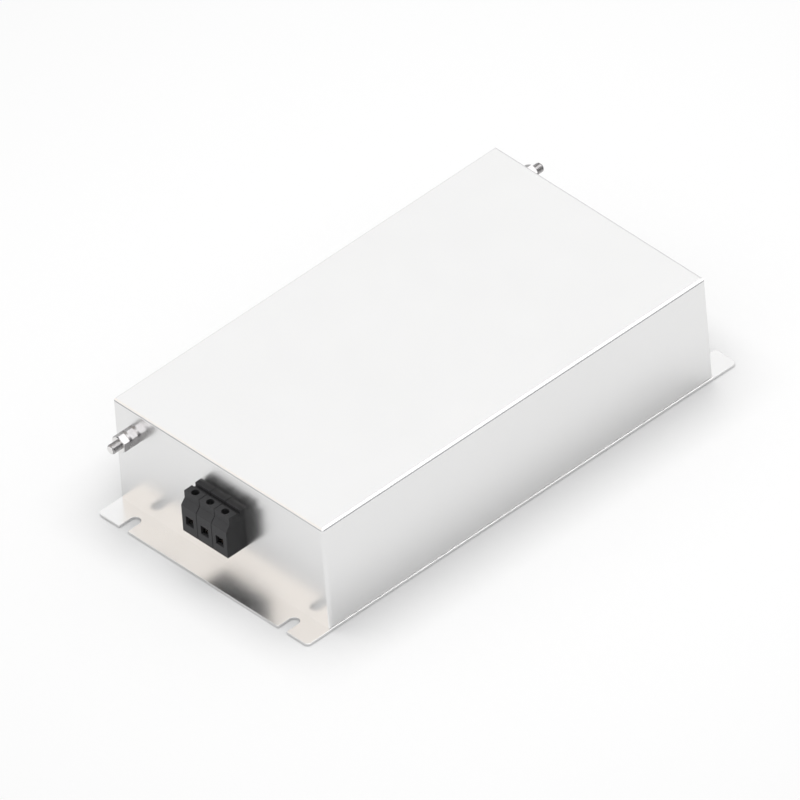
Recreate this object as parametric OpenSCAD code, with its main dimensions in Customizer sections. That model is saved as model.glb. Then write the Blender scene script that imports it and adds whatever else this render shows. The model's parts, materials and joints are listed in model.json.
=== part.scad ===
// Three-phase mains interference filter in a bright sheet steel case.
// A five-sided cover stands on a slotted base plate. Each end wall carries a three-pole screw
// terminal block and an earth stud, and a board inside carries two ring-core chokes, the
// capacitors between the phases and to earth, and the discharge resistors.
// X runs across the case, Y along it and Z up from the centre of the base plate's underside.
// The line end faces -Y, and the load end is its mirror image.

/* [Cover] */
// Outside width of the cover, and of the base plate under it
case_w = 140; // [126:1:180]
// Outside length of the cover
case_l = 241.5; // [220:0.5:300]
// Height of the whole case above the surface that it stands on
case_h = 60.5; // [56:0.5:80]
// Sheet thickness of the cover
cover_t = 1; // [0.8:0.1:1.3]
// Outside radius of the cover's bends
cover_r = 1.6; // [1.5:0.1:3]
// Width of the lips folded in along the foot of the long sides
lip_w = 11; // [9:0.5:13]

/* [Base plate] */
// Sheet thickness of the base plate
plate_t = 1.2; // [1:0.1:2]
// Length of plate that stands out past each end wall
flange_l = 14.5; // [13:0.5:25]
// Radius of the plate's corners
plate_r = 2.2; // [0.5:0.1:5]
// Width of the open-ended mounting slots
slot_w = 5.8; // [4.5:0.1:7]
// Distance from the plate's end to the centre of a slot's round end
slot_in = 7.35; // [4:0.05:9]
// Distance from the plate's side to the middle of a slot
slot_side = 17; // [10:0.5:30]

/* [Cover screws] */
// Radius of the countersunk heads
cover_screw_head_r = 2.35; // [2:0.05:2.6]
// Length of screw above the base plate
cover_screw_l = 3; // [2.5:0.1:5]
// Distance from the end wall to the end screws
cover_screw_in = 20; // [12:0.5:40]

/* [Terminal blocks] */
// Sideways offset of each block from the middle of the end wall
block_x = 0.75; // [-20:0.25:20]
// Height of the block's underside
block_z = 20.4; // [16:0.1:25]
// Width of one pole
pole_pitch = 10; // [9:0.5:12]
// How far the block stands out from the wall
block_depth = 11.6; // [11:0.1:14]
// Height from the underside to the face with the screw holes
block_h = 22.3; // [21.5:0.1:25]
// Height of the upright front face
front_h = 15.2; // [14.9:0.1:17]
// Height of the slanted face above it
slant_h = 3; // [1:0.1:4]
// Set-back of the upper front from the lower front
step_back = 2.5; // [2:0.1:3.5]
// Depth of the face with the screw holes
land_d = 5; // [4.4:0.1:6]
// Depth of the trough behind that face
trough = 1.7; // [0.5:0.1:3]
// Depth of the rib against the wall
rib_d = 2; // [1:0.1:2.6]
// Height of the rib above the face with the screw holes
rib_up = 0.4; // [0.2:0.1:2]
// Width of the shallow grooves between the poles
groove_w = 0.3; // [0.3:0.1:1]
// Depth of those grooves
groove_d = 0.3; // [0.1:0.1:0.6]
// Side of the square wire entries
entry = 5; // [4.4:0.1:5.3]
// Height of the wire entries' middle above the underside
entry_up = 7.4; // [7:0.1:7.6]
// Radius of the screwdriver holes
access_r = 2; // [1.9:0.05:2.1]
// Overlap of the block's inner flange on the wall
seat_w = 3; // [2:0.5:5]
// Thickness of the inner flange
seat_t = 2; // [1:0.1:3]

/* [Clamps] */
// Wall of the rising clamp cages
cage_wall = 1; // [0.7:0.1:1.1]
// Depth of the cages along the wire
cage_l = 5.4; // [4.5:0.1:5.6]
// Thickness of the cages' threaded top
cage_top = 2.4; // [1.8:0.1:2.6]
// Thickness of the current bars
bar_t = 1; // [0.8:0.1:1.2]
// Distance from the wall's outer face to the bars' legs inside
bar_reach = 12; // [11:0.5:15]

/* [Earth studs] */
// Distance from the cover's side to the stud
stud_side = 13; // [11:0.5:20]
// Height of the stud
stud_z = 46; // [40:0.5:48]
// Length of stud outside the wall
stud_out = 15; // [12:0.5:25]
// Crest radius of the stud's thread
stud_r = 2.5; // [2.3:0.1:2.6]
// Width across the flats of the nuts and of the stud's head
nut_af = 8; // [7:0.5:9]
// Height of the nuts
nut_h = 4; // [3:0.1:4.5]
// Thickness of the washer against the wall
flat_washer_t = 0.6; // [0.4:0.1:1]
// Thickness of the split washer between the nuts
split_washer_t = 1.2; // [0.8:0.1:1.4]
// Radius of both washers
washer_r = 4.5; // [4:0.1:5]

/* [Board] */
// Thickness of the circuit board
board_t = 1.6; // [1.2:0.1:2.4]
// Gap between the board's long edges and the cover
board_side_gap = 5; // [3:0.5:6]
// Gap between the board's short edges and the cover
board_end_gap = 7; // [6:0.5:7.5]
// Height of the standoffs above the base plate
standoff_h = 6; // [4:0.5:8]
// Radius of the standoffs
standoff_r = 3.2; // [2.5:0.1:4]
// Thickness of the insulating sheet under the board
sheet_t = 0.4; // [0.2:0.1:1]

/* [Chokes] */
// Outer radius of the ring cores
core_ro = 29; // [26:0.5:32]
// Inner radius of the ring cores
core_ri = 17; // [16:0.5:19]
// Height of the ring cores
core_h = 28; // [18:1:34]
// Radius of the winding wire
wire_r = 1.2; // [0.8:0.1:1.2]
// Turns in each winding
turns = 8; // [4:1:8]
// Angle of core that each winding covers
winding_span = 96; // [80:1:98]

/* [Capacitors and resistors] */
// Width of the capacitors between the phases
x_cap_w = 30; // [26:1:34]
// Depth of the capacitors between the phases
x_cap_l = 13; // [10:0.5:17]
// Height of the capacitors between the phases
x_cap_h = 24; // [18:1:40]
// Width of the capacitors to earth
y_cap_w = 13; // [10:1:20]
// Depth of the capacitors to earth
y_cap_l = 8; // [6:0.5:9]
// Height of the capacitors to earth
y_cap_h = 13; // [8:1:20]
// Radius of the discharge resistors
resistor_r = 1.75; // [1:0.05:2]
// Length of the discharge resistors' bodies
resistor_l = 9; // [6:0.5:12]

/* [Hidden] */
$fn = 64;
ends = ["line", "load"];
poles = [1, 2, 3];

// Overlap that keeps cutting tools clear of the faces they cut
eps = 0.5;
// Clearance round a thread's root, round a passing piece, and round a lead in the board
thread_clear = 0.05;
pass_clear = 0.15;
lead_clear = 0.2;
// How far pins and leads stand out under the board
pin_out = 1;

// Case
inner_w = case_w - 2 * cover_t;
inner_l = case_l - 2 * cover_t;
wall_y = case_l / 2;
plate_l = case_l + 2 * flange_l;
lip_x = inner_w / 2 - lip_w;
lip_top = plate_t + cover_t;

// Cover screws: 90 degree heads just below the underside, thread in a collar drawn up in the lip
cover_screw_root_r = 1;
cover_screw_x = lip_x + lip_w / 2;
cover_screw_y = wall_y - cover_screw_in;
head_sunk = 0.1;
head_h = min(plate_t - head_sunk, cover_screw_head_r - cover_screw_root_r);
sink_r = cover_screw_head_r + head_sunk + thread_clear;
collar_r = 2;
collar_h = 1.2;

// Terminal block, in heights above its underside
block_w = len(poles) * pole_pitch;
screw_d = block_depth - step_back - land_d / 2;
cage_slack = 0.2;
cage_in_w = entry + cage_slack;
cage_w = cage_in_w + 2 * cage_wall;
chamber_w = cage_w + 2 * cage_slack;
chamber_d = screw_d + cage_l / 2 + 3 * cage_slack;
cage_low = entry_up - entry / 2 - cage_wall;
bar_low = entry_up + entry / 2 + cage_slack / 2;
bar_w = entry - 2 * cage_slack;
bar_bend = 0.8;
cage_mouth = bar_low + bar_t + cage_slack;
cage_high = cage_mouth + cage_top;
chamber_high = cage_high + 4 * cage_slack;
clamp_thread_r = 1.5;
clamp_root_r = 1.2;
clamp_head_r = access_r - pass_clear;
clamp_head_low = chamber_high + 1;
clamp_head_h = 2.2;
drive_w = 0.7;

// Earth stud, in distances out from the wall's outer face
stud_root_r = stud_r - 0.45;
stud_hole_r = stud_r + pass_clear;
stud_head_h = 3.5;
lug_t = 0.8;
lug_r = 5;
inner_nut_at = flat_washer_t;
split_washer_at = inner_nut_at + nut_h;
outer_nut_at = split_washer_at + split_washer_t;
outer_nut_end = outer_nut_at + nut_h;
stud_chamfer = 0.5;

// Board and what carries it
board_w = inner_w - 2 * board_side_gap;
board_l = inner_l - 2 * board_end_gap;
board_z = plate_t + standoff_h;
board_top = board_z + board_t;
standoff_gap = 1;
standoff_x = lip_x - standoff_gap - standoff_r;
standoff_in = 7;
standoff_y = board_l / 2 - standoff_in;
standoff_foot_r = 2.1;
board_root_r = 1.2;
board_head_r = 2.8;
board_head_h = 2;

// Earth lead from the stud's lug to the board
lead_r = 1;
barrel_r = 1.8;
barrel_l = 6;
lead_bend = 3;
lead_d = cover_t + 0.1 + barrel_r;
lead_edge = 2.2;
lead_in = cover_t + board_end_gap + lead_edge;
lead_foot_l = 2;
lead_run_z = board_top + lead_bend + lead_foot_l;

// Chokes, in heights above the board
wire_gap = 0.4;
choke_base_t = 2;
core_low = choke_base_t + wire_gap + 2 * wire_r + wire_gap;
core_high = core_low + core_h;
core_edge = 2;
leg_out = core_ro + wire_gap + wire_r;
leg_in = core_ri - wire_gap - wire_r;
run_low = core_low - wire_gap - wire_r;
run_high = core_high + wire_gap + wire_r;
corner_l = 2.2;
end_corner_l = 0.9;
turn_step = winding_span / turns;
rib_t = 3;
choke_rim = 1.2;
choke_base_r = leg_out + wire_r + choke_rim;

// Places on the board
part_gap = 2;
pin_r = 0.4;
resistor_y = y_cap_l / 2 + part_gap + resistor_r;
choke_y = resistor_y + resistor_r + part_gap + choke_base_r;
x_cap_y = choke_y + choke_base_r + part_gap + x_cap_l / 2;
x_cap_pitch = x_cap_w + 2 * part_gap;
y_cap_gap = 13;
mid_pitch = y_cap_w + y_cap_gap;
resistor_lead_l = 1.5;
resistor_span = resistor_l + 2 * resistor_lead_l;
x_pin_span = x_cap_w - 5 * part_gap / 2;
y_pin_span = y_cap_w - 3 * part_gap / 2;

function pole_x(k) = block_x + (k - 2) * pole_pitch;
function unit(v) = v / norm(v);
function polar(r, a, z) = [r * cos(a), r * sin(a), z];

// Rectangle about the origin with round corners
module round_rect(w, l, r) {
    square([w - 2 * r, l], center = true);
    square([w, l - 2 * r], center = true);
    for (x = [-1, 1], y = [-1, 1])
        translate([x * (w / 2 - r), y * (l / 2 - r)]) circle(r);
}

// Folded box: round at every edge but the feet of its end walls
module folded_box(w, l, low, high, r) {
    h = high - low;
    intersection() {
        translate([0, 0, low]) linear_extrude(h) round_rect(w, l, r);
        translate([0, l / 2, low + h / 2]) rotate([90, 0, 0]) linear_extrude(l) round_rect(w, h, r);
        translate([-w / 2, 0, low + h / 2 - r]) rotate([90, 0, 90])
            linear_extrude(w) round_rect(l, h + 2 * r, r);
    }
}

// Frame of an end wall: X across the case, Y out from the wall's outer face, Z up
module at_wall(end) {
    if (end == "line") translate([0, -wall_y, 0]) mirror([0, 1, 0]) children();
    else translate([0, wall_y, 0]) children();
}

// Axis of the earth stud of one end, along Z and out from the wall
module on_stud(end) {
    at_wall(end) translate([stud_side - case_w / 2, 0, stud_z]) rotate([-90, 0, 0]) children();
}

module cover_screw_spots() {
    for (x = [-1, 1], y = [-1, 0, 1])
        translate([x * cover_screw_x, y * cover_screw_y, 0]) children();
}

module standoff_spots() {
    for (x = [-1, 1], y = [-1, 0, 1])
        translate([x * standoff_x, y * standoff_y, 0]) children();
}

// Centre of one end's choke, on the board
module at_choke(end) {
    translate([0, (end == "line" ? -1 : 1) * choke_y, board_top]) children();
}

module x_capacitor_spot(end, k) {
    translate([(k - 2) * x_cap_pitch, (end == "line" ? -1 : 1) * x_cap_y, board_top]) children();
}

module y_capacitor_spot(k) {
    translate([(k - 2) * mid_pitch, 0, board_top]) children();
}

module resistor_spot(k) {
    translate([(k - 2) * mid_pitch, resistor_y, board_top]) children();
}

// A pair of pins from the board's top down through it, half a span to each side
module pin_pair(span, r, top = 0) {
    for (x = [-1, 1])
        translate([x * span / 2, 0, -board_t - pin_out]) cylinder(r = r, h = board_t + pin_out + top);
}

// Hexagon with a corner along Y and both ends chamfered to a circle of the width across flats
module hex_block(af, h) {
    corner_r = af / sqrt(3);
    bevel = (corner_r - af / 2) * tan(30);
    intersection() {
        rotate([0, 0, 90]) cylinder(r = corner_r, h = h, $fn = 6);
        rotate_extrude() polygon([
            [0, 0], [af / 2, 0], [corner_r, bevel],
            [corner_r, h - bevel], [af / 2, h], [0, h],
        ]);
    }
}

// Flat sheet with two open slots in each end, seen as the case's floor and its two flanges
module base_plate() {
    color("silver") difference() {
        linear_extrude(plate_t) difference() {
            round_rect(case_w, plate_l, plate_r);
            for (x = [-1, 1], flip = [0, 1]) mirror([0, flip, 0])
                translate([x * (case_w / 2 - slot_side), plate_l / 2 - slot_in]) {
                    circle(d = slot_w);
                    translate([-slot_w / 2, 0]) square([slot_w, slot_in + eps]);
                }
        }
        cover_screw_spots() {
            translate([0, 0, -eps]) cylinder(r = cover_screw_root_r + 0.3, h = plate_t + 2 * eps);
            cylinder(r1 = sink_r, r2 = sink_r - head_sunk - head_h, h = head_sunk + head_h);
        }
        standoff_spots() translate([0, 0, -eps])
            cylinder(r = standoff_foot_r + thread_clear, h = plate_t + 2 * eps);
    }
}

// Folded steel box, open below, with a lip along the foot of each long side
module cover() {
    color("gainsboro") difference() {
        union() {
            difference() {
                folded_box(case_w, case_l, plate_t, case_h, cover_r);
                folded_box(inner_w, inner_l, lip_top, case_h - cover_t, cover_r - cover_t);
                translate([-lip_x, -inner_l / 2, plate_t - eps])
                    cube([2 * lip_x, inner_l, cover_t + 2 * eps]);
            }
            cover_screw_spots() translate([0, 0, plate_t])
                cylinder(r = collar_r, h = cover_t + collar_h);
        }
        cover_screw_spots() translate([0, 0, plate_t - eps])
            cylinder(r = cover_screw_root_r + thread_clear, h = cover_t + collar_h + 2 * eps);
        for (end = ends) {
            at_wall(end) translate([block_x - block_w / 2 - pass_clear, -cover_t - eps, block_z - pass_clear])
                cube([block_w + 2 * pass_clear, cover_t + 2 * eps, block_h + rib_up + 2 * pass_clear]);
            on_stud(end) translate([0, 0, -cover_t - eps])
                cylinder(r = stud_hole_r, h = cover_t + 2 * eps);
        }
    }
}

// Countersunk screws driven from below through the plate into the cover's lips
module cover_screws() {
    color("darkgray") cover_screw_spots() difference() {
        union() {
            translate([0, 0, head_sunk]) cylinder(
                r1 = cover_screw_head_r, r2 = cover_screw_head_r - head_h, h = head_h);
            translate([0, 0, head_sunk]) cylinder(
                r = cover_screw_root_r, h = plate_t + cover_screw_l - head_sunk);
        }
        for (turn = [0, 90]) rotate([0, 0, turn])
            translate([-cover_screw_head_r / 2, -drive_w / 2, head_sunk - eps])
            cube([cover_screw_head_r, drive_w, head_h / 2 + eps]);
    }
}

// Side outline of a terminal block: out from the wall, and up from its underside
module block_outline() {
    upper = block_depth - step_back;
    polygon([
        [-cover_t, 0], [block_depth, 0], [block_depth, front_h],
        [upper, front_h + slant_h], [upper, block_h], [upper - land_d, block_h],
        [upper - land_d, block_h - trough], [rib_d, block_h - trough],
        [rib_d, block_h + rib_up], [-cover_t, block_h + rib_up],
    ]);
}

// Moulded block pushed out through the wall from inside until its flange meets the wall
module terminal_housing(end) {
    color("dimgray") at_wall(end) translate([block_x, 0, block_z]) difference() {
        union() {
            translate([-block_w / 2, 0, 0]) rotate([90, 0, 90]) linear_extrude(block_w) block_outline();
            translate([-block_w / 2 - seat_w, -cover_t - seat_t, -seat_w])
                cube([block_w + 2 * seat_w, seat_t, block_h + rib_up + 2 * seat_w]);
        }
        for (k = poles) translate([(k - 2) * pole_pitch, 0, 0]) {
            translate([-chamber_w / 2, -cover_t - seat_t - eps, cage_low])
                cube([chamber_w, cover_t + seat_t + eps + chamber_d, chamber_high - cage_low]);
            translate([-entry / 2, chamber_d - eps, entry_up - entry / 2])
                cube([entry, block_depth - chamber_d + 2 * eps, entry]);
            translate([0, screw_d, chamber_high - eps])
                cylinder(r = access_r, h = block_h - chamber_high + 2 * eps);
        }
        for (x = [-1, 1]) translate([x * pole_pitch / 2 - groove_w / 2, 0, 0])
            rotate([90, 0, 90]) linear_extrude(groove_w) difference() {
                square([block_depth + eps, block_h + rib_up + eps]);
                translate([-groove_d, -groove_d]) block_outline();
            }
    }
}

// Place of one pole's clamp in the frame of its wall, at the height of the block's underside
module at_pole(end, k) {
    at_wall(end) translate([pole_x(k), 0, block_z]) children();
}

// Square cage that the screw lifts to press the wire against the bar
module cage(end, k) {
    color("goldenrod") at_pole(end, k) translate([0, screw_d, 0]) difference() {
        translate([-cage_w / 2, -cage_l / 2, cage_low]) cube([cage_w, cage_l, cage_high - cage_low]);
        translate([-cage_in_w / 2, -cage_l / 2 - eps, cage_low + cage_wall])
            cube([cage_in_w, cage_l + 2 * eps, cage_mouth - cage_low - cage_wall]);
        translate([0, 0, cage_mouth - eps])
            cylinder(r = clamp_root_r + thread_clear, h = cage_top + 2 * eps);
    }
}

// Copper strip from the cage through the wall, bent down into the board
module current_bar(end, k) {
    bend_r = bar_bend + bar_t;
    top = bar_low + bar_t;
    foot = board_z - pin_out - block_z;
    color("peru") at_pole(end, k) translate([-bar_w / 2, 0, 0]) rotate([90, 0, 90])
        linear_extrude(bar_w) {
            translate([bend_r - bar_reach, bar_low])
                square([bar_reach - bend_r + screw_d + cage_l / 2, bar_t]);
            translate([-bar_reach, foot]) square([bar_t, top - bend_r - foot]);
            translate([bend_r - bar_reach, top - bend_r]) intersection() {
                difference() {
                    circle(bend_r);
                    circle(bar_bend);
                }
                translate([-bend_r, 0]) square(bend_r);
            }
        }
}

// Slotted screws that work the cages, their tips on the bars
module clamp_screws() {
    tip = bar_low + bar_t;
    color("gold") for (end = ends, k = poles) at_pole(end, k) translate([0, screw_d, 0]) difference() {
        union() {
            translate([0, 0, tip]) cylinder(r = clamp_root_r, h = clamp_head_low - tip);
            translate([0, 0, cage_high + thread_clear])
                cylinder(r = clamp_thread_r, h = clamp_head_low - cage_high - thread_clear);
            translate([0, 0, clamp_head_low]) cylinder(r = clamp_head_r, h = clamp_head_h);
        }
        translate([-clamp_head_r - eps, -drive_w / 2, clamp_head_low + clamp_head_h / 2])
            cube([2 * (clamp_head_r + eps), drive_w, clamp_head_h]);
    }
}

// Hexagon bolt pushed out through the wall; its thread has its root radius inside each nut
module earth_stud(end) {
    color("lightgray") on_stud(end) {
        translate([0, 0, -cover_t - lug_t - stud_head_h]) hex_block(nut_af, stud_head_h);
        translate([0, 0, -cover_t - lug_t]) cylinder(r = stud_r, h = cover_t + lug_t + inner_nut_at);
        cylinder(r = stud_root_r, h = stud_out);
        translate([0, 0, split_washer_at]) cylinder(r = stud_r, h = split_washer_t);
        translate([0, 0, outer_nut_end]) cylinder(r = stud_r, h = stud_out - stud_chamfer - outer_nut_end);
        translate([0, 0, stud_out - stud_chamfer])
            cylinder(r1 = stud_r, r2 = stud_r - stud_chamfer, h = stud_chamfer);
    }
}

module washer(t) {
    difference() {
        cylinder(r = washer_r, h = t);
        translate([0, 0, -eps]) cylinder(r = stud_hole_r, h = t + 2 * eps);
    }
}

module flat_washers() {
    color("lightgray") for (end = ends) on_stud(end) washer(flat_washer_t);
}

module nut() {
    difference() {
        hex_block(nut_af, nut_h);
        translate([0, 0, -eps]) cylinder(r = stud_root_r + thread_clear, h = nut_h + 2 * eps);
    }
}

module inner_nuts() {
    color("lightgray") for (end = ends) on_stud(end) translate([0, 0, inner_nut_at]) nut();
}

// Split washers, each cut through on a slant
module split_washers() {
    color("gray") for (end = ends) on_stud(end) translate([0, 0, split_washer_at]) difference() {
        washer(split_washer_t);
        translate([0, 0, split_washer_t / 2]) rotate([0, 25, 0])
            translate([-drive_w / 2, 0, -washer_r]) cube([drive_w, 2 * washer_r, 2 * washer_r]);
    }
}

module outer_nuts() {
    color("lightgray") for (end = ends) on_stud(end) translate([0, 0, outer_nut_at]) nut();
}

// Quarter turn of wire in the plane across the wall, about a point out from the wall and up
module lead_turn(d, z, from) {
    translate([0, d, z]) rotate([90, 0, 90]) rotate([0, 0, from])
        rotate_extrude(angle = 90) translate([lead_bend, 0]) circle(lead_r);
}

// Ring lug under the stud's head, with a wire that drops and steps in to the board
module earth_lead(end) {
    barrel_top = stud_z - lug_r - barrel_l / 2;
    color("yellowgreen") at_wall(end) translate([stud_side - case_w / 2, 0, 0]) {
        difference() {
            union() {
                translate([0, -cover_t, stud_z]) rotate([90, 0, 0]) cylinder(r = lug_r, h = lug_t);
                translate([-barrel_r, -cover_t - lug_t, barrel_top - barrel_l / 2])
                    cube([2 * barrel_r, lug_t, stud_z - barrel_top + barrel_l / 2]);
            }
            translate([0, 0, stud_z]) rotate([90, 0, 0]) cylinder(r = stud_hole_r, h = cover_t + lug_t + eps);
        }
        translate([0, -lead_d, barrel_top - barrel_l]) cylinder(r = barrel_r, h = barrel_l);
        translate([0, -lead_d, lead_run_z + lead_bend])
            cylinder(r = lead_r, h = barrel_top - barrel_l / 2 - lead_run_z - lead_bend);
        lead_turn(-lead_d - lead_bend, lead_run_z + lead_bend, -90);
        translate([0, -lead_d - lead_bend, lead_run_z]) rotate([90, 0, 0])
            cylinder(r = lead_r, h = lead_in - lead_d - 2 * lead_bend);
        lead_turn(lead_bend - lead_in, lead_run_z - lead_bend, 90);
        translate([0, -lead_in, board_z - pin_out])
            cylinder(r = lead_r, h = lead_run_z - lead_bend - board_z + pin_out);
    }
}

// Sheet that keeps the board's solder side off the base plate
module insulating_sheet() {
    color("ivory") translate([0, 0, plate_t]) linear_extrude(sheet_t) difference() {
        square([2 * lip_x - 1, inner_l - 2], center = true);
        standoff_spots() circle(standoff_r + lead_clear);
    }
}

// Threaded standoffs clinched into the base plate, flush with its underside
module board_standoffs() {
    color("silver") standoff_spots() difference() {
        union() {
            translate([0, 0, head_sunk]) cylinder(r = standoff_foot_r, h = plate_t);
            translate([0, 0, plate_t]) cylinder(r = standoff_r, h = standoff_h);
        }
        translate([0, 0, plate_t]) cylinder(r = board_root_r + thread_clear, h = standoff_h + eps);
    }
}

module board_screws() {
    color("silver") standoff_spots() difference() {
        union() {
            translate([0, 0, board_top]) cylinder(r = board_head_r, h = board_head_h);
            translate([0, 0, plate_t + 1]) cylinder(r = board_root_r, h = board_top - plate_t - 1);
        }
        for (turn = [0, 90]) rotate([0, 0, turn])
            translate([-board_head_r / 2, -drive_w / 2, board_top + board_head_h / 2])
            cube([board_head_r, drive_w, board_head_h]);
    }
}

// Fibreglass board, drilled for its screws, bars, leads and pins
module circuit_board() {
    color("seagreen") difference() {
        translate([0, 0, board_z]) linear_extrude(board_t) round_rect(board_w, board_l, plate_r);
        standoff_spots() translate([0, 0, board_z - eps])
            cylinder(r = board_root_r + 0.4, h = board_t + 2 * eps);
        for (end = ends) {
            for (k = poles) {
                at_pole(end, k)
                    translate([-bar_w / 2 - lead_clear, -bar_reach - lead_clear, board_z - block_z - eps])
                    cube([bar_w + 2 * lead_clear, bar_t + 2 * lead_clear, board_t + 2 * eps]);
                x_capacitor_spot(end, k) pin_pair(x_pin_span, pin_r + lead_clear, eps);
            }
            at_wall(end) translate([stud_side - case_w / 2, -lead_in, board_z - eps])
                cylinder(r = lead_r + lead_clear, h = board_t + 2 * eps);
            at_choke(end) translate([0, 0, -board_t - eps]) winding_lead_holes(board_t + 2 * eps);
        }
        for (k = poles) {
            y_capacitor_spot(k) pin_pair(y_pin_span, pin_r + lead_clear, eps);
            resistor_spot(k) pin_pair(resistor_span, pin_r + lead_clear, eps);
        }
    }
}

// Holes for the two leads of each winding
module winding_lead_holes(h) {
    for (k = poles, side = [-1, 1]) rotate([0, 0, (k - 1) * 120 + side * winding_span / 2])
        translate([leg_out, 0, 0]) cylinder(r = wire_r + lead_clear, h = h);
}

// Moulded base: a disc, three ribs that the core lies on, and a fence between the windings
module choke_base(end) {
    color("whitesmoke") at_choke(end) difference() {
        union() {
            cylinder(r = choke_base_r, h = choke_base_t);
            for (k = poles) rotate([0, 0, (k - 1) * 120 + 60]) {
                translate([0, -rib_t / 2, 0]) cube([core_ro, rib_t, core_low]);
                translate([0, -rib_t / 2, 0]) cube([core_ri - wire_gap, rib_t, core_high]);
            }
        }
        translate([0, 0, -eps]) winding_lead_holes(choke_base_t + 2 * eps);
    }
}

// Coated ring core with round edges
module choke_core(end) {
    color("darkslategray") at_choke(end) rotate_extrude()
        translate([(core_ro + core_ri) / 2, core_low + core_h / 2])
        round_rect(core_ro - core_ri, core_h, core_edge);
}

// Middle line of a winding that starts at an angle: up outside the core, in, down and out below
function winding_path(start) = concat(
    [polar(leg_out, start, -board_t - pin_out)],
    [for (k = [0 : turns - 1]) let (a = start + k * turn_step) each [
        if (k > 0) polar(leg_out, a, run_low + corner_l),
        polar(leg_out, a, run_high - corner_l),
        polar(leg_out - corner_l, a, run_high),
        polar(leg_in + corner_l, a, run_high),
        polar(leg_in, a, run_high - corner_l),
        polar(leg_in, a, run_low + corner_l),
        polar(leg_in + corner_l, a, run_low),
        polar(leg_out - (k < turns - 1 ? corner_l : end_corner_l), a + turn_step, run_low),
    ]],
    [
        polar(leg_out, start + winding_span, run_low - end_corner_l),
        polar(leg_out, start + winding_span, -board_t - pin_out),
    ]);

// Round wire along a path that winds about Z, each ring of points in the plane that halves its bend
module wound_wire(path, r, sides = 6) {
    last = len(path) - 1;
    steps = [for (i = [0 : last - 1]) unit(path[i + 1] - path[i])];
    points = [for (i = [0 : last]) let (
        step = steps[min(i, last - 1)],
        along = unit(step + steps[max(i - 1, 0)]),
        round_z = unit(cross([path[i].x, path[i].y, 0], [0, 0, 1])),
        across = unit(round_z - (round_z * along) * along),
        out = cross(along, across) / (along * step))
        for (s = [0 : sides - 1]) let (a = 360 * s / sides)
        path[i] + r * (cos(a) * across + sin(a) * out)];
    sleeve = [for (i = [0 : last - 1], s = [0 : sides - 1]) let (
        a = i * sides + s,
        b = i * sides + (s + 1) % sides)
        each [[a, a + sides, b + sides], [a, b + sides, b]]];
    caps = [[for (s = [0 : sides - 1]) s], [for (s = [sides - 1 : -1 : 0]) last * sides + s]];
    polyhedron(points, concat(sleeve, caps));
}

module winding(end, k) {
    color("orangered") at_choke(end)
        wound_wire(winding_path((k - 1) * 120 - winding_span / 2), wire_r);
}

// Film capacitor between two phases, in a moulded box
module x_capacitor(end, k) {
    color("gold") x_capacitor_spot(end, k) {
        linear_extrude(x_cap_h) round_rect(x_cap_w, x_cap_l, 1);
        pin_pair(x_pin_span, pin_r, eps);
    }
}

// Film capacitor from a phase to earth
module y_capacitor(k) {
    color("royalblue") y_capacitor_spot(k) {
        linear_extrude(y_cap_h) round_rect(y_cap_w, y_cap_l, 1);
        pin_pair(y_pin_span, pin_r, eps);
    }
}

// Resistor that empties the capacitors, lying on the board with its leads bent down
module discharge_resistor(k) {
    color("burlywood") resistor_spot(k) {
        translate([-resistor_l / 2, 0, resistor_r]) rotate([0, 90, 0])
            cylinder(r = resistor_r, h = resistor_l);
        translate([-resistor_span / 2, 0, resistor_r]) rotate([0, 90, 0])
            cylinder(r = pin_r, h = resistor_span);
        for (x = [-1, 1]) translate([x * resistor_span / 2, 0, resistor_r]) sphere(pin_r);
        pin_pair(resistor_span, pin_r, resistor_r);
    }
}

base_plate();
cover();
cover_screws();
for (end = ends) terminal_housing(end);
for (end = ends, k = poles) cage(end, k);
for (end = ends, k = poles) current_bar(end, k);
clamp_screws();
for (end = ends) earth_stud(end);
flat_washers();
inner_nuts();
split_washers();
outer_nuts();
for (end = ends) earth_lead(end);
insulating_sheet();
board_standoffs();
circuit_board();
board_screws();
for (end = ends) choke_base(end);
for (end = ends) choke_core(end);
for (end = ends, k = poles) winding(end, k);
for (end = ends, k = poles) x_capacitor(end, k);
for (k = poles) y_capacitor(k);
for (k = poles) discharge_resistor(k);
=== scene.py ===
import json
import math

import bmesh
import bpy
import numpy as np
from mathutils import Matrix, Vector

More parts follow.
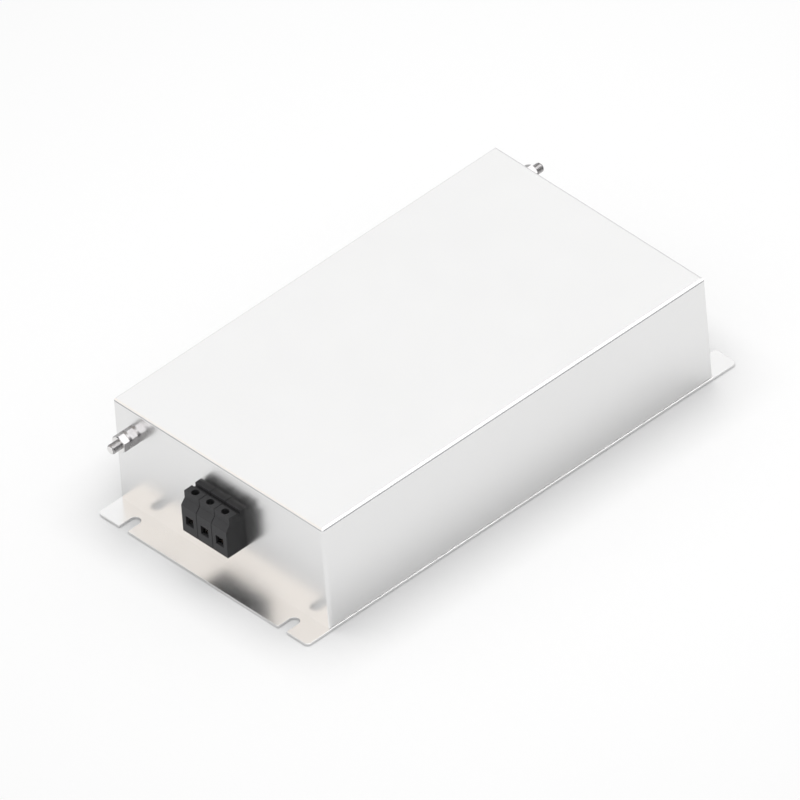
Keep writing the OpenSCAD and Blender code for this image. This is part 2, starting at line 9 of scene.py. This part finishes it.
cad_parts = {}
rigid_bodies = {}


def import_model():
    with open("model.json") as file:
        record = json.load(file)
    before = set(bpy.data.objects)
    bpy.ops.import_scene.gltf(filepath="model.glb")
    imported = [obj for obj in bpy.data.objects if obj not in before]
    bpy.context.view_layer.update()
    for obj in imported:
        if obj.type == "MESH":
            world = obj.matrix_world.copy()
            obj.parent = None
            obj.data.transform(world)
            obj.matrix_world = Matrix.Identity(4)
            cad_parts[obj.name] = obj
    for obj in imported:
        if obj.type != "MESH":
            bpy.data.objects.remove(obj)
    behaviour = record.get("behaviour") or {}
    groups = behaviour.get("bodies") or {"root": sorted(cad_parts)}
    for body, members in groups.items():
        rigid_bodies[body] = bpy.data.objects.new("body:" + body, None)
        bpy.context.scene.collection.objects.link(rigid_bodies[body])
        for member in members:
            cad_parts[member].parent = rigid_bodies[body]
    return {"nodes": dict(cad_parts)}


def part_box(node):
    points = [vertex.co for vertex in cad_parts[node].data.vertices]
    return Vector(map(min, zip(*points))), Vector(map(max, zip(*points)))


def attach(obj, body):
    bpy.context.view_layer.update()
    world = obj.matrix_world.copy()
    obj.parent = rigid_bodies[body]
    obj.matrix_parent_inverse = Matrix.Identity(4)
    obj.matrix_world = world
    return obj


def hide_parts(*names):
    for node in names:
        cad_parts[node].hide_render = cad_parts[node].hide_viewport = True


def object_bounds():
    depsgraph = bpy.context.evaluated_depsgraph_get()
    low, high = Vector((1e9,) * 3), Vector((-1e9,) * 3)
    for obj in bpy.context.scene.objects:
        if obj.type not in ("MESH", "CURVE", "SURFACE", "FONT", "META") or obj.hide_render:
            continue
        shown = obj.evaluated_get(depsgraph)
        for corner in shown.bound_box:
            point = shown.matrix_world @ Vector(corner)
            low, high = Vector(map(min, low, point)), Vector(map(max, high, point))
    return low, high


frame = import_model()
cad_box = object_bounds()

# ---- Camera -------------------------------------------------------------------------
# A long lens far off, so that parallel edges stay parallel.  It looks down by 40 degrees
# over the corner between the long right side and the line end.
right = np.array((0.68511206, 0.72551687, -0.06516697))
up = np.array((-0.43331613, 0.47782127, 0.76414918))
back = np.array((0.58554129, -0.49528991, 0.64173928))
eye = right * -0.007968 + up * 0.018014 + back

lens = bpy.data.cameras.new("camera")
lens.type = "ORTHO"
lens.ortho_scale = 0.36584
lens.clip_end = 10
camera = bpy.data.objects.new("camera", lens)
pose = Matrix.Identity(4)
for column, axis in enumerate((right, up, back, eye)):
    for row in range(3):
        pose[row][column] = axis[row]
camera.matrix_world = pose
bpy.context.collection.objects.link(camera)
bpy.context.scene.camera = camera


# ---- Sheet steel case ---------------------------------------------------------------
# The flanged base plate with its two end walls, and the long cover bent round it, are both
# smooth rolled and bright plated steel.  Six countersunk screws hold them together.
class Wire:
    """A value in a material's nodes: the operators add Math nodes, node() adds any other."""

    def __init__(self, tree, socket=None):
        self.tree, self.socket = tree, socket

    def node(self, kind, settings=(), *values, out=0, **sockets):
        """A node by its type, then its settings, then its sockets in order or by name."""
        made = self.tree.nodes.new("ShaderNode" + kind)
        for name, value in dict(settings).items():
            if name == "stops":
                ramp = made.color_ramp
                while len(ramp.elements) < len(value):
                    ramp.elements.new(0.5)
                for stop, (place, colour) in zip(ramp.elements, value):
                    stop.position, stop.color = place, colour
            else:
                setattr(made, name, value)
        named = {key.replace("_", " "): value for key, value in sockets.items()}
        for key, value in [*enumerate(values), *named.items()]:
            if isinstance(value, Wire):
                self.tree.links.new(value.socket, made.inputs[key])
            elif value is not None:
                made.inputs[key].default_value = value
        return Wire(self.tree, made.outputs[out])

    def sum(self, operation, *values):
        return self.node("Math", {"operation": operation}, *values)

    def __add__(self, other):
        return self.sum("ADD", self, other)

    def __sub__(self, other):
        return self.sum("SUBTRACT", self, other)

    def __rsub__(self, other):
        return self.sum("SUBTRACT", other, self)

    def __mul__(self, other):
        return self.sum("MULTIPLY", self, other)

    def __truediv__(self, other):
        return self.sum("DIVIDE", self, other)

    def __gt__(self, other):
        return self.sum("GREATER_THAN", self, other)

    def __lt__(self, other):
        return self.sum("LESS_THAN", self, other)

    __radd__, __rmul__ = __add__, __mul__

    def wave(self):
        return self.sum("SINE", self)

    def clear(self, low, high, first=0.0, last=1.0):
        """The value from low to high, spread over first to last and stopped there."""
        return self.node("MapRange", {}, self, low, high, first, last)

    def tint(self, first, second):
        """From the first colour to the second one as this value goes from 0 to 1."""
        made = self.tree.nodes.new("ShaderNodeMix")
        made.data_type = "RGBA"
        for key, value in ((0, self), (6, first), (7, second)):
            if isinstance(value, Wire):
                self.tree.links.new(value.socket, made.inputs[key])
            else:
                made.inputs[key].default_value = (*value, 1.0)
        return Wire(self.tree, made.outputs[2])


def grey(level):
    """The linear strength of a grey that is written from 0 to 255."""
    share = level / 255
    return share / 12.92 if share < 0.04045 else ((share + 0.055) / 1.055) ** 2.4


def colour(red, green, blue):
    return grey(red), grey(green), grey(blue)


class Finish:
    """A material with one Principled shader, whose constants sit on its own sockets."""

    def __init__(self, name, **sockets):
        self.material = bpy.data.materials.new(name)
        self.material.use_nodes = True
        self.tree = self.material.node_tree
        self.shader = self.tree.nodes["Principled BSDF"]
        for key, value in sockets.items():
            self.shader.inputs[key.replace("_", " ")].default_value = value
        self.place = Wire(self.tree).node("TexCoord", {}, out="Object")

    def noise(self, scale, detail=3.0, rough=0.5, stretch=(1, 1, 1)):
        """Soft noise with features 1/scale metres wide, drawn out where stretch is small."""
        place = self.place.node("Mapping", {}, self.place, Scale=stretch)
        return place.node("TexNoise", {}, Vector=place, Scale=scale, Detail=detail,
                          Roughness=rough)

    def feed(self, **sockets):
        for key, value in sockets.items():
            self.tree.links.new(value.socket, self.shader.inputs[key.replace("_", " ")])

    def relief(self, height, depth):
        """Bumps of the given depth in metres where the height goes from 0 to 1."""
        self.feed(Normal=height.node("Bump", {}, Strength=1.0, Distance=depth, Height=height))

    def lay(self, *nodes):
        for name in nodes:
            piece = frame["nodes"][name]
            for place in piece.material_slots:
                place.material = self.material


sheet = Finish("case_steel", Metallic=1.0)
cloud = sheet.noise(14, 2)
grain = sheet.noise(900, 2, stretch=(1, 0.05, 1))
mist = sheet.noise(60, 4)
sheet.feed(Base_Color=cloud.tint((0.905, 0.903, 0.899), (0.927, 0.926, 0.924)),
           Roughness=mist.clear(0.3, 0.7, 0.23, 0.27))
sheet.relief(grain, 0.0000006)
sheet.lay("base_plate", "cover")


def soft_edges(node, width):
    """A merged copy of a node's mesh with flat faces joined and its edges rounded off."""
    work = bmesh.new()
    work.from_mesh(frame["nodes"][node].data)
    bmesh.ops.remove_doubles(work, verts=work.verts, dist=0.000002)
    bmesh.ops.dissolve_limit(work, angle_limit=math.radians(0.4), verts=work.verts,
                             edges=work.edges)
    mesh = bpy.data.meshes.new(node + "_softened")
    work.to_mesh(mesh)
    work.free()
    mesh.materials.clear()
    piece = bpy.data.objects.new(node + "_softened", mesh)
    bpy.context.collection.objects.link(piece)
    rounding = piece.modifiers.new("edges", "BEVEL")
    rounding.width = width
    rounding.segments = 2
    rounding.limit_method = "ANGLE"
    rounding.angle_limit = math.radians(35)
    rounding.harden_normals = False
    return piece


plate = soft_edges("base_plate", 0.00015)
plate.data.materials.append(sheet.material)
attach(plate, "root")
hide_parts("base_plate")

screw_zinc = Finish("screw_steel", Metallic=1.0)
screw_zinc.feed(Base_Color=screw_zinc.noise(700).tint((0.62, 0.61, 0.58), (0.80, 0.79, 0.77)),
                Roughness=screw_zinc.noise(900).clear(0.3, 0.7, 0.24, 0.38))
screw_zinc.lay("cover_screws", "board_screws")

# ---- Terminal housings --------------------------------------------------------------
# One moulded block of charcoal plastic at each end, with a stepped front and a wire hole
# and a screw hole for each of its three poles.  It is pushed through the wall from inside.
mould = Finish("terminal_plastic", Specular_IOR_Level=0.2)
speckle = mould.noise(2600, 2)
shade = mould.noise(90, 3)
mould.feed(Base_Color=shade.tint(colour(48, 48, 49), colour(54, 54, 55)),
           Roughness=speckle.clear(0.3, 0.7, 0.46, 0.58))
mould.relief(speckle, 0.000012)


for end in ("line", "load"):
    block = soft_edges(end + "_terminal_housing", 0.00011)
    block.data.materials.append(mould.material)
    for face in block.data.polygons:
        face.use_smooth = False
    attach(block, "root")
    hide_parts(end + "_terminal_housing")

# ---- Clamps, bars and clamp screws --------------------------------------------------
# Each pole has a stamped steel cage that is pulled up by a slotted screw and presses the
# wire against a tinned copper bar, which runs inside to the circuit board.
cage = Finish("clamp_steel", Metallic=1.0)
cage.feed(Base_Color=cage.noise(500).tint((0.42, 0.41, 0.39), (0.58, 0.57, 0.55)),
          Roughness=cage.noise(800).clear(0.3, 0.7, 0.28, 0.45))
cage.lay(*(f"{end}_cage_{pole}" for end in ("line", "load") for pole in (1, 2, 3)))

slotted = Finish("clamp_screw_steel", Metallic=1.0)
slotted.feed(Base_Color=slotted.noise(800).tint((0.30, 0.30, 0.30), (0.46, 0.45, 0.44)),
             Roughness=slotted.noise(900).clear(0.3, 0.7, 0.30, 0.45))
slotted.lay("clamp_screws")

tinned = Finish("bar_copper", Metallic=1.0)
tinned.feed(Base_Color=tinned.noise(300).tint((0.72, 0.44, 0.30), (0.84, 0.58, 0.42)),
            Roughness=tinned.noise(900).clear(0.3, 0.7, 0.22, 0.36))
tinned.lay(*(f"{end}_bar_{pole}" for end in ("line", "load") for pole in (1, 2, 3)))

# ---- Earth studs --------------------------------------------------------------------
# A threaded steel stud of five millimetres at each end, nickel plated, held in the wall
# by its inner nut and carrying a split washer and a second nut outside.
plated = Finish("stud_steel", Metallic=1.0)


def facing_highlight_and_shade(finish, flats, faces):
    """Painted shade and highlight: a dark colour on flats and threads, and a brighter one, a painted
    highlight, on faces across the Y axis.
    """
    facing = finish.place.node("NewGeometry", {}, out="Normal")
    slope = facing.node("SeparateXYZ", {}, facing, out="Y")
    return slope.sum("ABSOLUTE", slope).clear(0.80, 0.95).tint(flats, faces)


# The stud's colour holds painted light: dark painted shade on flats and threads, and a near-white
# painted highlight on faces across its axis.
plated.feed(Base_Color=facing_highlight_and_shade(plated, plated.noise(600).tint((0.34, 0.335, 0.34), (0.44, 0.43, 0.43)),
                              (0.90, 0.89, 0.88)),
            Roughness=plated.noise(900).clear(0.3, 0.7, 0.14, 0.24))


def threaded_stud(name, axis, start, way, head, reach, crest, root, pitch, lead_in):
    """A hexagon-headed stud along Y, from its head's face at start.

    The radius is the head's hexagon, half its width across flats over the cosine of the
    angle from the nearest flat, up to the seat.  From there it is a flat-topped triangle
    wave of y / pitch - a / turn between root and crest, held under a line that rises from
    the root at the tip.
    """
    flats, thick = head
    rod = np.linspace(thick, reach, int((reach - thick) / pitch * 10) + 1)
    length = np.concatenate(((0.0, 0.0004, thick - 0.0004, thick), rod))
    around = np.linspace(0.0, 2 * np.pi, 48, endpoint=False)
    along, angle = np.meshgrid(length, around, indexing="ij")
    flat = flats / 2 / np.cos((angle + np.pi / 3) % (np.pi / 3) - np.pi / 6)
    ends = np.minimum(along, thick - along)
    hexagon = np.minimum(flat, flats / 2 * 1.02 + ends * 1.6)
    turn = (along / pitch - angle / (2 * np.pi)) % 1.0
    ridge = np.clip(1.35 * (1 - 2 * np.abs(turn - 0.5)) - 0.1, 0.0, 1.0)
    tip = root - 0.0001 + (reach - along) * (crest - root + 0.0001) / lead_in
    thread = np.minimum(root + (crest - root) * ridge, tip)
    radius = np.where(np.arange(len(length))[:, None] < 4, hexagon, thread)
    rings = np.stack((axis[0] + radius * np.cos(angle), start + way * along,
                      axis[1] + radius * np.sin(angle)), axis=-1)
    caps = np.array(((axis[0], start, axis[1]), (axis[0], start + way * reach, axis[1])))
    points = np.concatenate((rings.reshape(-1, 3), caps))
    rows, columns = rings.shape[:2]
    ahead = (np.arange(columns) + 1) % columns
    low = np.arange(rows - 1)[:, None] * columns
    walls = np.stack((low + np.arange(columns), low + ahead, low + columns + ahead,
                      low + columns + np.arange(columns)), axis=-1).reshape(-1, 4)
    rim, last = np.arange(columns), (rows - 1) * columns
    foot = np.stack((rim * 0 + rows * columns, ahead, rim), axis=-1)
    point = np.stack((rim * 0 + rows * columns + 1, last + rim, last + ahead), axis=-1)
    if way > 0:
        walls, foot, point = walls[:, ::-1], foot[:, ::-1], point[:, ::-1]
    mesh = bpy.data.meshes.new(name)
    mesh.from_pydata(points.tolist(), [], walls.tolist() + foot.tolist() + point.tolist())
    mesh.polygons.foreach_set("use_smooth", np.ones(len(mesh.polygons), dtype=bool))
    mesh.set_sharp_from_angle(angle=math.radians(35))
    piece = bpy.data.objects.new(name, mesh)
    bpy.context.collection.objects.link(piece)
    return piece


for end, way in (("line", -1.0), ("load", 1.0)):
    low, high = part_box(end + "_earth_stud")
    axis = ((low[0] + high[0]) / 2, (low[2] + high[2]) / 2)
    start = high[1] if way < 0 else low[1]
    stud = threaded_stud(end + "_threaded_stud", axis, start, way,
                         head=(high[0] - low[0], 0.0035), reach=high[1] - low[1],
                         crest=0.0025, root=0.00205, pitch=0.0008, lead_in=0.0006)
    stud.data.materials.append(plated.material)
    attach(stud, "root")
    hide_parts(end + "_earth_stud")

nut = Finish("nut_steel", Metallic=1.0)
# The nuts' colour holds painted light: painted shade on the flats, and a near-white painted highlight
# on faces across their axis.
nut.feed(Base_Color=facing_highlight_and_shade(nut, nut.noise(400).tint((0.30, 0.295, 0.30), (0.40, 0.39, 0.39)),
                           (0.90, 0.89, 0.88)),
         Roughness=nut.noise(700).clear(0.3, 0.7, 0.12, 0.22))
nut.relief(nut.noise(1500), 0.000002)
nut.lay("inner_nuts", "outer_nuts")

washer = Finish("washer_steel", Metallic=1.0)
# The washers' colour holds painted light: painted shade on their rims, and a near-white painted
# highlight on faces across their axis.
washer.feed(Base_Color=facing_highlight_and_shade(washer, washer.noise(400).tint((0.30, 0.295, 0.30), (0.40, 0.39, 0.39)),
                              (0.86, 0.85, 0.84)),
            Roughness=washer.noise(700).clear(0.3, 0.7, 0.18, 0.30))
washer.lay("flat_washers", "split_washers")

# ---- Earth leads --------------------------------------------------------------------
# A short insulated wire from each stud to the board, green with a yellow stripe that
# winds once round it every few millimetres.
sheath = Finish("lead_sheath", Roughness=0.42)
part = sheath.place.node("SeparateXYZ", {}, sheath.place, out="X")
height = sheath.place.node("SeparateXYZ", {}, sheath.place, out="Z")
stripe = ((part + height) * 900).wave().clear(0.05, 0.2)
sheath.feed(Base_Color=stripe.tint(colour(24, 112, 58), colour(222, 196, 44)))
sheath.lay("line_earth_lead", "load_earth_lead")

# ---- Insulating sheet, standoffs and board ------------------------------------------
# A pale film lines the floor, and six turned brass posts carry a glass-fibre board with a
# woven look under its green mask.
film = Finish("sheet_film", Roughness=0.5)
film.feed(Base_Color=film.noise(120, 4).tint(colour(206, 202, 190), colour(224, 221, 212)))
film.lay("insulating_sheet")

post = Finish("standoff_steel", Metallic=1.0)
post.feed(Base_Color=post.noise(500).tint((0.66, 0.62, 0.52), (0.80, 0.76, 0.66)),
          Roughness=post.noise(700, stretch=(1, 1, 8)).clear(0.3, 0.7, 0.2, 0.34))
post.lay("board_standoffs")

laminate = Finish("board_laminate", Roughness=0.36)
across = laminate.place.node("SeparateXYZ", {}, laminate.place, out="X")
along_y = laminate.place.node("SeparateXYZ", {}, laminate.place, out="Y")
weave = (across * 7800).wave() * (along_y * 7800).wave()
laminate.feed(Base_Color=weave.clear(-1, 1).tint(colour(30, 84, 52), colour(44, 104, 66)))
laminate.relief(weave.clear(-1, 1), 0.00001)
laminate.lay("circuit_board")

# ---- Ring-core chokes ---------------------------------------------------------------
# Two coated ring cores, each standing on a ribbed moulded base and wound with three
# equal coils of thick enamelled copper wire.
seat = Finish("choke_plastic")
seat.feed(Base_Color=seat.noise(200).tint(colour(30, 30, 32), colour(40, 40, 42)),
          Roughness=seat.noise(2400, 2).clear(0.3, 0.7, 0.42, 0.56))
seat.lay("line_choke_base", "load_choke_base")

core = Finish("core_ceramic", Coat_Weight=0.3, Coat_Roughness=0.25)
core.feed(Base_Color=core.noise(160, 4).tint(colour(58, 92, 120), colour(74, 110, 138)),
          Roughness=core.noise(1200).clear(0.3, 0.7, 0.35, 0.5))
core.relief(core.noise(900, 3), 0.00004)
core.lay("line_choke_core", "load_choke_core")

enamel = Finish("winding_copper", Metallic=1.0, Coat_Weight=0.5, Coat_Roughness=0.12)
enamel.feed(Base_Color=enamel.noise(220, 3).tint((0.52, 0.20, 0.08), (0.70, 0.32, 0.14)),
            Roughness=enamel.noise(900).clear(0.3, 0.7, 0.22, 0.36))
enamel.lay(*(f"{end}_winding_{coil}" for end in ("line", "load") for coil in (1, 2, 3)))

# ---- Capacitors and discharge resistors ---------------------------------------------
# Moulded box capacitors between the poles and from the poles to earth, potted flush at
# the foot, with lacquered resistors beside them.
x_box = Finish("x_capacitor_case")
x_box.feed(Base_Color=x_box.noise(80, 3).tint(colour(196, 176, 60), colour(212, 192, 78)),
           Roughness=x_box.noise(1800, 2).clear(0.3, 0.7, 0.38, 0.52))
x_box.lay(*(f"{end}_x_capacitor_{place}" for end in ("line", "load") for place in (1, 2, 3)))

y_box = Finish("y_capacitor_case")
y_box.feed(Base_Color=y_box.noise(80, 3).tint(colour(44, 84, 142), colour(58, 100, 158)),
           Roughness=y_box.noise(1800, 2).clear(0.3, 0.7, 0.38, 0.52))
y_box.lay("y_capacitor_1", "y_capacitor_2", "y_capacitor_3")

lacquer = Finish("resistor_body", Coat_Weight=0.4)
lacquer.feed(Base_Color=lacquer.noise(500, 3).tint(colour(150, 176, 178), colour(172, 194, 194)),
             Roughness=lacquer.noise(900).clear(0.3, 0.7, 0.3, 0.45))
lacquer.lay("discharge_resistor_1", "discharge_resistor_2", "discharge_resistor_3")

bpy.context.scene.view_settings.view_transform = "Standard"

# ---- Floor, world and lamps ---------------------------------------------------------
# A plain pale floor under a white studio sky that is darker near the horizon, a broad soft
# lamp overhead, and a weaker one low in front that lights the object and not the floor.
low, high = cad_box
reach, level = 0.9, low[2] - 0.0004
floor_mesh = bpy.data.meshes.new("floor")
floor_mesh.from_pydata([(-reach, -reach, level), (reach, -reach, level),
                        (reach, reach, level), (-reach, reach, level)], [], [(0, 1, 2, 3)])
floor = bpy.data.objects.new("floor", floor_mesh)
bpy.context.collection.objects.link(floor)
ground = Finish("floor_paint", Roughness=0.9, Specular_IOR_Level=0.0, Emission_Strength=1.0)
seen = ground.place.node("LightPath", {}, out="Is Camera Ray")
ground.feed(Base_Color=seen.tint((0.88, 0.88, 0.88), (0.90, 0.90, 0.90)),
            Emission_Color=seen.tint((0.0, 0.0, 0.0), (0.11, 0.11, 0.11)))
floor_mesh.materials.append(ground.material)

world = bpy.data.worlds.new("studio")
bpy.context.scene.world = world
world.use_nodes = True
world.cycles.sampling_method = "NONE"
sky = Wire(world.node_tree)
way = sky.node("TexCoord", {}, out="Generated")


def toward(x, y, z):
    """How far the sky's direction points the given way, from -1 to 1."""
    return way.node("VectorMath", {"operation": "DOT_PRODUCT"}, way, (x, y, z), out="Value")


climb = way.node("SeparateXYZ", {}, way, out="Z").clear(0.10, 0.45)
dome = climb.tint((0.14, 0.14, 0.15), (0.94, 0.94, 0.95))
dome = toward(-0.62, 0.25, 0.74).clear(0.52, 0.78).tint(dome, (0.97, 0.97, 0.97))
dome = toward(-0.585, -0.480, 0.654).clear(0.86, 0.96).tint(dome, (0.975, 0.915, 0.855))
dome = toward(-0.585, -0.720, 0.373).clear(0.985, 0.993).tint(dome, (1.2, 1.2, 1.2))
dome = toward(0.28, 0.0, 0.96).clear(0.80, 0.88).tint(dome, (3.6, 3.6, 3.6))
spread = sky.node("LightPath", {}, out="Diffuse Depth").clear(0.0, 1.0)
mirrored = spread.tint(dome, (0.12, 0.12, 0.12))
glossy = sky.node("LightPath", {}, out="Is Glossy Ray").tint((0.42, 0.42, 0.42), mirrored)
shown = sky.node("LightPath", {}, out="Is Camera Ray").tint(glossy, (1.0, 1.0, 1.0))
world.node_tree.links.new(shown.socket, world.node_tree.nodes["Background"].inputs["Color"])


def soft_lamp(name, place, size, power):
    """A square lamp of the given side that faces the origin and casts no bright glints."""
    light = bpy.data.lights.new(name, "AREA")
    light.size, light.energy = size, power
    lamp = bpy.data.objects.new(name, light)
    lamp.matrix_world = (Matrix.Translation(place)
                         @ Vector(place).to_track_quat("Z", "Y").to_matrix().to_4x4())
    lamp.visible_glossy = lamp.visible_camera = False
    bpy.context.collection.objects.link(lamp)
    return lamp


soft_lamp("overhead", (0.0, 0.05, 1.2), 1.1, 10.8)
front = soft_lamp("front", (-0.75, -1.20, 0.42), 0.9, 15.0)
lit = bpy.data.collections.new("lit_by_front")
for piece in bpy.context.scene.objects:
    if piece.type == "MESH" and piece is not floor:
        lit.objects.link(piece)
front.light_linking.receiver_collection = lit
